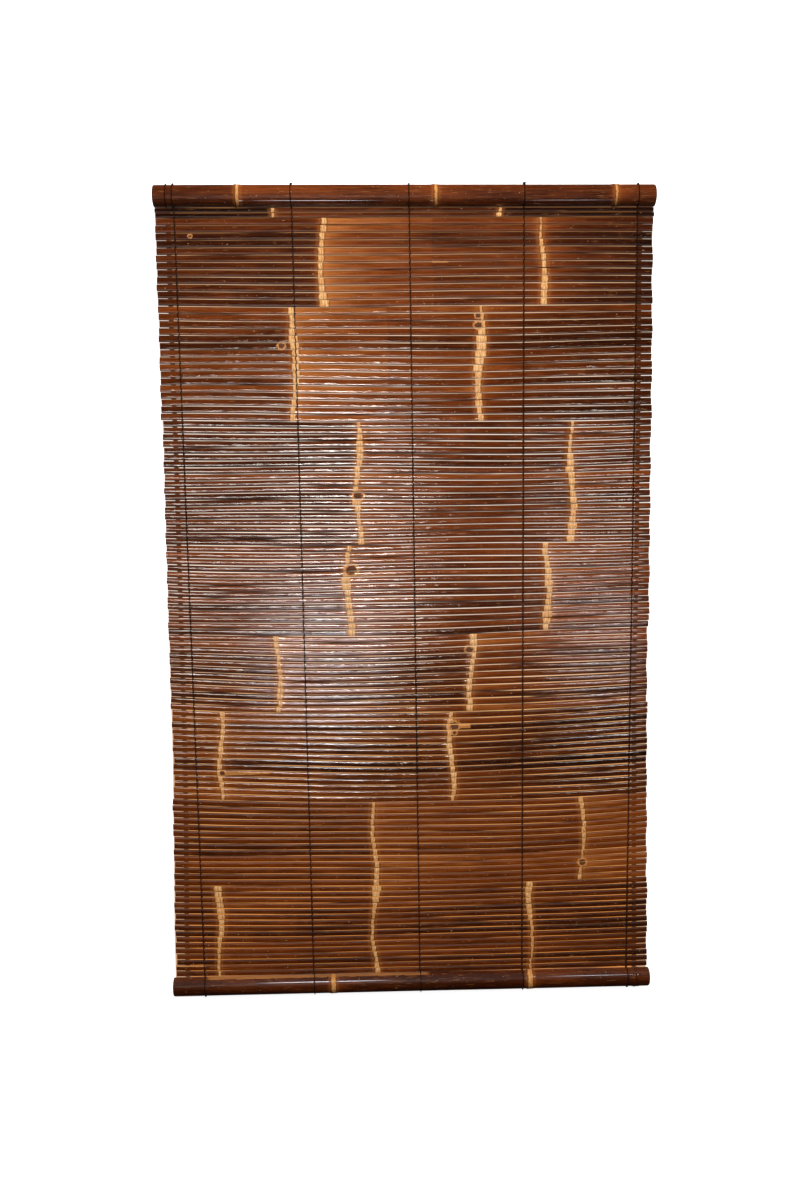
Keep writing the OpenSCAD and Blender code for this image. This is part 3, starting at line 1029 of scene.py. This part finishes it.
# %% Tree: two plies along a path
ply = bpy.data.node_groups.new("two_ply_twine", "GeometryNodeTree")
ply.is_modifier = True
sockets(ply, "INPUT", Route="Geometry", Radius="Float", Step="Float", Pitch="Float", Finish="Material")
sockets(ply, "OUTPUT", Twine="Geometry")
given, result = ply.nodes.new("NodeGroupInput"), ply.nodes.new("NodeGroupOutput")
route = Wire(make(ply, "GeometryNodeMeshToCurve", {"Mesh": Wire(given, "Route")}))
route = Wire(make(ply, "GeometryNodeCurveSplineType", {"Curve": route}, spline_type="CATMULL_ROM"))
plugs = {"Curve": route, "Length": Wire(given, "Step")}
route = Wire(make(ply, "GeometryNodeResampleCurve", plugs, mode="LENGTH"))
length = Wire(make(ply, "GeometryNodeSplineParameter"), "Length")
route = stored(ply, route, "along", length)
twist = length / Wire(given, "Pitch") * (2 * math.pi)
route = Wire(make(ply, "GeometryNodeSetCurveTilt", {"Curve": route, "Tilt": twist}))
plugs = {"Resolution": 8, "Radius": Wire(given, "Radius")}
profile = Wire(make(ply, "GeometryNodeCurvePrimitiveCircle", plugs))
turn = Wire(make(ply, "GeometryNodeSplineParameter"), "Factor")
profile = stored(ply, profile, "around", turn)
lobes = (turn * (2 * math.pi)).math("COSINE").math("ABSOLUTE") * 0.42 + 0.62
plugs = {0: Wire(make(ply, "GeometryNodeInputPosition")), "Scale": lobes}
profile_place = Wire(make(ply, "ShaderNodeVectorMath", plugs, operation="SCALE"))
profile = Wire(make(ply, "GeometryNodeSetPosition", {"Geometry": profile, "Position": profile_place}))
plugs = {"Curve": route, "Profile Curve": profile, "Fill Caps": True}
twine = Wire(make(ply, "GeometryNodeCurveToMesh", plugs))
twine = Wire(make(ply, "GeometryNodeSetShadeSmooth", {0: twine}))
twine = Wire(make(ply, "GeometryNodeRealizeInstances", {0: twine}))
plugs = {"Geometry": twine, "Material": Wire(given, "Finish")}
plug(ply, Wire(make(ply, "GeometryNodeSetMaterial", plugs)), result.inputs["Twine"])
print("twine tree:", len(ply.nodes), "nodes")

# %% What the strands pass: the head rail, every slat and the bottom rail
TWINE_RADIUS, TWINE_CLEAR = 0.00100, 0.0002
CROSSING = 0.0009
head, foot = rails["head_rail"], rails["bottom_rail"]
mat = [slat for bundle in BUNDLES for slat in slats[bundle]]
edges = [(head["radius"], -head["radius"])]
edges += [(slat["high"], slat["low"]) for slat in mat]
edges += [(foot["axis z"] + foot["radius"], foot["axis z"] - foot["radius"])]
last = len(edges) - 1
behind = max(slat["axis y"] - (slat["radius"] - slat["wall"]) * math.cos(slat["half angle"]) for slat in mat)
back_y = behind + TWINE_RADIUS + TWINE_CLEAR
print("the strands pass", last + 1, "members; the slats' backs reach to", round(behind * 1000, 2), "mm")


# %% Path of one strand
def in_front(member, side):
    """Side 0 starts in front of the head rail, side 1 behind it."""
    return (member + side) % 2 == 0


def rail_arc(rail, steps=14):
    """Points round the front of a rail, from its top to its bottom, a strand's radius off the bark."""
    away = rail["radius"] + TWINE_RADIUS + TWINE_CLEAR
    turns = [math.pi / 2 + math.pi * k / steps for k in range(steps + 1)]
    return [(away * math.cos(a), rail["axis z"] + away * math.sin(a)) for a in turns]


def strand_path(top_x, foot_x, side):
    """The strand's points from the head rail to the foot. It moves with the mat's waves and its sag."""
    top_z, foot_z = edges[0][0], edges[-1][1]

    def point(y, z, offset):
        share = (top_z - z) / (top_z - foot_z)
        return (top_x + (foot_x - top_x) * share + offset, y, z)

    def wave(z):
        x = point(0.0, z, 0.0)[0]
        sag = (x * x - LEVEL_X_SQUARED) * (z * -SAG_PER_METRE - SAG_AT_TOP)
        waves = sum(height * math.sin(x * along + z * down + start) for along, down, start, height in WAVES)
        return (sag + waves) * (1 - (z / MAT_MIDDLE - 1) ** 4)

    lean = CROSSING * (1 if side else -1)
    points = []
    for member, (high, low) in enumerate(edges):
        front = in_front(member, side)
        way = 1 if front else -1
        if member in (0, last):
            rail = head if member == 0 else foot
            straight = [(back_y, high - 0.001), (back_y, (high + low) / 2), (back_y, low + 0.001)]
            for y, z in rail_arc(rail) if front else straight:
                points.append(point(y, z, lean))
        else:
            slat = mat[member - 1]
            y = -slat["wall"] - TWINE_RADIUS - 0.00015 if front else back_y
            for share in (0.15, 0.5, 0.85):
                offset = CROSSING * way * (2 * share - 1)
                z = high + (low - high) * share
                points.append(point(y, z + wave(z), offset))
        if member < last:
            z = (low + edges[member + 1][0]) / 2
            points.append(point(-0.0012, z + wave(z), CROSSING * way))
    return points


sample = strand_path(0.0, 0.0, 0)
print("points in a strand:", len(sample))

# %% [markdown]
# At the top the two strands of a column are tied. The knot is a trefoil, the plain overhand knot drawn
# closed, which sits on the crown of the head rail. Two of the five are tied bigger.


# %% Knots and paths as meshes
def knot_path(centre, size, count=40):
    """A trefoil knot lying across the top of the rail."""
    turns = [2 * math.pi * k / count for k in range(count)]
    return [
        (
            centre[0] + size / 3 * (math.sin(t) + 2 * math.sin(2 * t)),
            centre[1] - size / 2.4 * math.sin(3 * t),
            centre[2] + size / 3 * (math.cos(t) - 2 * math.cos(2 * t)),
        )
        for t in turns
    ]


def path_mesh(open_path=(), closed_path=()):
    """Both paths as edges of one mesh, ready for the twine tree."""
    start = len(open_path)
    lines = [(k, k + 1) for k in range(start - 1)]
    count = len(closed_path)
    lines += [(start + k, start + (k + 1) % count) for k in range(count)]
    mesh = bpy.data.meshes.new("path")
    mesh.from_pydata([*open_path, *closed_path], lines, [])
    return mesh


print("a knot has", len(knot_path((0, 0, 0), 0.002)), "points")

# %% Lay the twine
COLUMNS = sorted({name.rsplit("_", 1)[0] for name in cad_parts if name.endswith(("_left", "_right"))})
KNOTS = {"twine_2": 0.0022, "twine_4": 0.0030}
twine_values = {"Radius": TWINE_RADIUS, "Step": 0.0014, "Pitch": 0.0056, "Finish": twine_finish}


def keep_twine(piece, node):
    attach(piece, "root")
    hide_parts(node)
    return len(piece.data.polygons)


for column in COLUMNS:
    both = np.concatenate([np.concatenate(loose_solids(column + end)) for end in ("_left", "_right")])
    top_x = both[both[:, 2] > 0.015][:, 0].mean()
    foot_x = both[both[:, 2] < foot["axis z"] - 0.010][:, 0].mean()
    counts = []
    for side, end in enumerate(("_left", "_right")):
        size = KNOTS.get(column, 0.0015)
        knot = knot_path((top_x, -0.0040, head["radius"] + size * 0.4), size) if side == 0 else ()
        path = path_mesh(strand_path(top_x, foot_x, side), knot)
        counts.append(keep_twine(grow(column + end + "_strand", path, ply, twine_values), column + end))
    print(column, "from x", round(top_x, 4), "to", round(foot_x, 4), "with", counts, "faces")

# %% [markdown]
# Near the left end one more turn of twine goes round the head rail. Its path is closed: round the front and
# straight down behind.

# %% Lay the extra turn
low_corner, high_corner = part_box("twine_turn")
turn_x = (low_corner[0] + high_corner[0]) / 2
turn_path = [(turn_x, y, z) for y, z in rail_arc(head, 24)]
turn_path += [(turn_x, back_y, z) for z in np.linspace(-head["radius"], head["radius"], 9).tolist()]
faces = keep_twine(grow("twine_turn_strand", path_mesh((), turn_path), ply, twine_values), "twine_turn")
for section in (slat_section, rail_section):
    bpy.data.objects.remove(section)
print("extra turn at x", round(turn_x, 4), "with", faces, "faces")

# %% [markdown]
# ## The stage and the light
# The blind hangs a little off a white wall, over a pale floor. Around the blind the wall is lit and white.
# What shows of it between the slats is painted light and shade in the wall's emission: the slats' shade,
# warmed by the wood, painted as a tan glow, palest from a third to half of the way down, orange towards the
# foot, and broken from gap to gap. Near the ends of the slats light gets in, so after a short stretch of
# painted brown shadow the last centimetre and a half is painted pale. Seen at a slant, this painted shade
# fades out. From behind, the wall lets the camera through, so that the back of the blind can be seen.


# %% Finish of the backdrop
def backdrop_finish(name):
    """White where it is lit, with a glow for the camera, and clear from behind."""
    material = bpy.data.materials.new(name)
    material.use_nodes = True
    tree = material.node_tree
    shader = tree.nodes["Principled BSDF"]
    shader.inputs["Base Color"].default_value = (0.9, 0.9, 0.9, 1.0)
    shader.inputs["Roughness"].default_value = 1.0
    shader.inputs["Specular IOR Level"].default_value = 0.0
    shader.inputs["Emission Color"].default_value = (0.5, 0.5, 0.5, 1.0)
    shader.inputs["Emission Strength"].default_value = 1.0
    clear = Wire(make(tree, "ShaderNodeBsdfTransparent"))
    rear = Wire(make(tree, "ShaderNodeNewGeometry"), "Backfacing")
    mixed = make(tree, "ShaderNodeMixShader", {0: rear, 1: Wire(shader), 2: clear})
    plug(tree, Wire(mixed), tree.nodes["Material Output"].inputs["Surface"])
    return material


wall_white, floor_white = backdrop_finish("wall_white"), backdrop_finish("floor_white")
print("backdrop finishes:", wall_white.name, "and", floor_white.name)

# %% The shade behind the mat
tree = wall_white.node_tree
shader = tree.nodes["Principled BSDF"]
split = make(tree, "ShaderNodeSeparateXYZ", {0: Wire(make(tree, "ShaderNodeTexCoord"), "Object")})
x, z = Wire(split, "X"), Wire(split, "Z")
drop = z / foot["axis z"]
GAP_TONES = (
    (0.03, (0.30, 0.12, 0.03)),
    (0.07, (0.64, 0.37, 0.18)),
    (0.16, (0.86, 0.58, 0.37)),
    (0.28, (1.00, 0.84, 0.70)),
    (0.50, (1.00, 0.82, 0.67)),
    (0.64, (0.84, 0.42, 0.15)),
    (0.95, (0.80, 0.28, 0.05)),
)
TIP_TONES = (
    (0.02, (0.10, 0.03, 0.01)),
    (0.07, (0.85, 0.76, 0.68)),
    (0.45, (0.90, 0.80, 0.70)),
    (0.60, (0.60, 0.34, 0.18)),
)
bundle_drops = [np.mean([slat["axis z"] for slat in slats[bundle]]) / foot["axis z"] for bundle in BUNDLES]
FAR_BACK = 0.02
LIT_WALL, SHADED_WALL = (0.9, 0.9, 0.9, 1.0), (0.02, 0.010, 0.005, 1.0)
DARK_GAP, BROWN_GAP = (0.02, 0.005, 0.001, 1.0), (0.10, 0.030, 0.008, 1.0)


def end_ramp(end, rail_end):
    """How far the slats' ends stay back from the ends of the rails, by height."""
    backs = [abs(np.mean([slat[end] for slat in slats[bundle]]) - rail_end) for bundle in BUNDLES]
    stops = [(float(at), (float(back) / FAR_BACK,) * 3) for at, back in zip(bundle_drops, backs)]
    return Wire(make(tree, "ShaderNodeRGBToBW", {0: ramp(tree, drop, stops)})) * FAR_BACK


from_left = x - cad_box[0][0] - end_ramp("left", cad_box[0][0])
from_right = -x + cad_box[1][0] - end_ramp("right", cad_box[1][0])
from_end = from_left.math("MINIMUM", from_right)
shade = step(from_end, -0.0045, -0.0005) * step(drop, 0.0, 0.012) * step(drop, 1.0, 0.99)
facing = Wire(make(tree, "ShaderNodeLayerWeight", {"Blend": 0.5}), "Facing")
shade = shade * step(facing, 0.28, 0.14)
each_gap = noise(tree, vector(tree, x * 5.0, 0.0, z * 130.0), 2.0)
# Painted shade and warm bounce light of the gaps, in the wall's emission.
painted_gap_glow = paint(tree, step(each_gap, 0.32, 0.52), DARK_GAP, ramp(tree, drop, GAP_TONES))
tip = step(from_end, 0.017, 0.015)
painted_gap_glow = paint(tree, step(from_end, 0.026, 0.024) * (-tip + 1.0), painted_gap_glow, BROWN_GAP)
painted_gap_glow = paint(tree, tip, painted_gap_glow, ramp(tree, drop, TIP_TONES))
plug(tree, paint(tree, shade, LIT_WALL, painted_gap_glow), shader.inputs["Emission Color"])
plug(tree, paint(tree, shade, LIT_WALL, SHADED_WALL), shader.inputs["Base Color"])
print("the wall is shaded behind", len(bundle_drops), "bundles")


# %% Wall and floor
def backdrop(name, corners, finish):
    """A sheet that only the camera sees, so that it takes no light from the blind's back."""
    mesh = bpy.data.meshes.new(name)
    mesh.from_pydata(corners, [], [range(4)])
    mesh.materials.append(finish)
    sheet = bpy.data.objects.new(name, mesh)
    bpy.context.scene.collection.objects.link(sheet)
    sheet.visible_diffuse = sheet.visible_glossy = sheet.visible_transmission = sheet.visible_shadow = False
    return sheet


WALL_Y, FLOOR_Z, REACH = 0.014, -1.98, 6.0
wall_corners = [(-1, 0, 0), (1, 0, 0), (1, 0, 1), (-1, 0, 1)]
wall_corners = [(x * REACH, WALL_Y, FLOOR_Z + z * (REACH - FLOOR_Z)) for x, _, z in wall_corners]
floor_corners = [(x * REACH, y * REACH, FLOOR_Z) for x, y in ((-1, -1), (1, -1), (1, 1), (-1, 1))]
wall = backdrop("wall", wall_corners, wall_white)
floor = backdrop("floor", floor_corners, floor_white)
print("wall and floor face", wall.data.polygons[0].normal[:], floor.data.polygons[0].normal[:])

# %% [markdown]
# The glints tell where the lights were. On the head rail they lie below its middle and on the bottom rail
# above it, and the sheen on the slats is strongest half way down. So five soft lamps stand about level with
# the middle of the blind and only make glints: two small ones close to it, and three low, wide ones 2 m in
# front, to the left, near the middle and to the right. A broad panel above and an even light from the world,
# stronger from above and from behind than from the front, light the blind itself.


# %% Lamps
def panel(name, place, target, width, height, power, colour, shine):
    """A lamp that is soft to its edges: one with shine only makes glints, and one without only lights."""
    data = bpy.data.lights.new(name, "AREA")
    data.shape, data.size, data.size_y = "RECTANGLE", width, height
    data.energy, data.color = power, colour
    data.use_nodes = True
    tree = data.node_tree
    spot = make(tree, "ShaderNodeSeparateXYZ", {0: Wire(make(tree, "ShaderNodeNewGeometry"), "Parametric")})
    u, v = Wire(spot, "X"), Wire(spot, "Y")
    soft = u * (-u + 1.0) * 4.0 * v * (-v + 1.0) * 4.0
    plug(tree, soft, tree.nodes["Emission"].inputs["Strength"])
    lamp = bpy.data.objects.new(name, data)
    aim = Vector(target) - Vector(place)
    lamp.matrix_world = Matrix.Translation(place) @ aim.to_track_quat("-Z", "Y").to_matrix().to_4x4()
    lamp.visible_camera, lamp.visible_glossy, lamp.visible_diffuse = False, shine, not shine
    bpy.context.scene.collection.objects.link(lamp)


COOL, WARM = (0.92, 0.91, 1.0), (1.0, 0.96, 0.91)
GLINTS = (
    ("lamp_left", (-0.19, -0.60, -0.98), 0.34, 0.12, 2.0, COOL),
    ("lamp_right", (0.48, -0.60, -0.94), 0.24, 0.12, 0.6, COOL),
    ("sheen_middle", (-0.14, -2.0, -0.64), 0.60, 0.16, 26.0, WARM),
    ("sheen_left", (-0.62, -2.0, -0.72), 0.70, 0.16, 13.5, WARM),
    ("sheen_right", (0.74, -2.0, -0.74), 0.46, 0.16, 7.5, WARM),
)
for name, place, width, height, power, colour in GLINTS:
    panel(name, place, (place[0], 0.0, place[2]), width, height, power, colour, True)
panel("panel_above", (0.0, -2.4, 1.2), (0.0, 0.0, -0.7), 3.2, 2.0, 230.0, WARM, False)

# %% World
world = bpy.data.worlds.new("even_light")
world.use_nodes = True
bpy.context.scene.world = world
tree = world.node_tree
seen = Wire(make(tree, "ShaderNodeLightPath"), "Is Camera Ray")
way = make(tree, "ShaderNodeSeparateXYZ", {0: Wire(make(tree, "ShaderNodeTexCoord"), "Generated")})
level = step(Wire(way, "Z"), 0.0, 1.0) * 0.5 + step(Wire(way, "Y"), 0.0, 0.8) * 0.45 + 0.08
mirrored = Wire(make(tree, "ShaderNodeLightPath"), "Is Glossy Ray")
level = level * (mirrored * -0.85 + 1.0)
background = tree.nodes["Background"]
background.inputs["Color"].default_value = (1.0, 1.0, 1.0, 1.0)
plug(tree, level + (-level + 1.0) * seen, background.inputs["Strength"])
print("world light:", len(tree.nodes), "nodes")
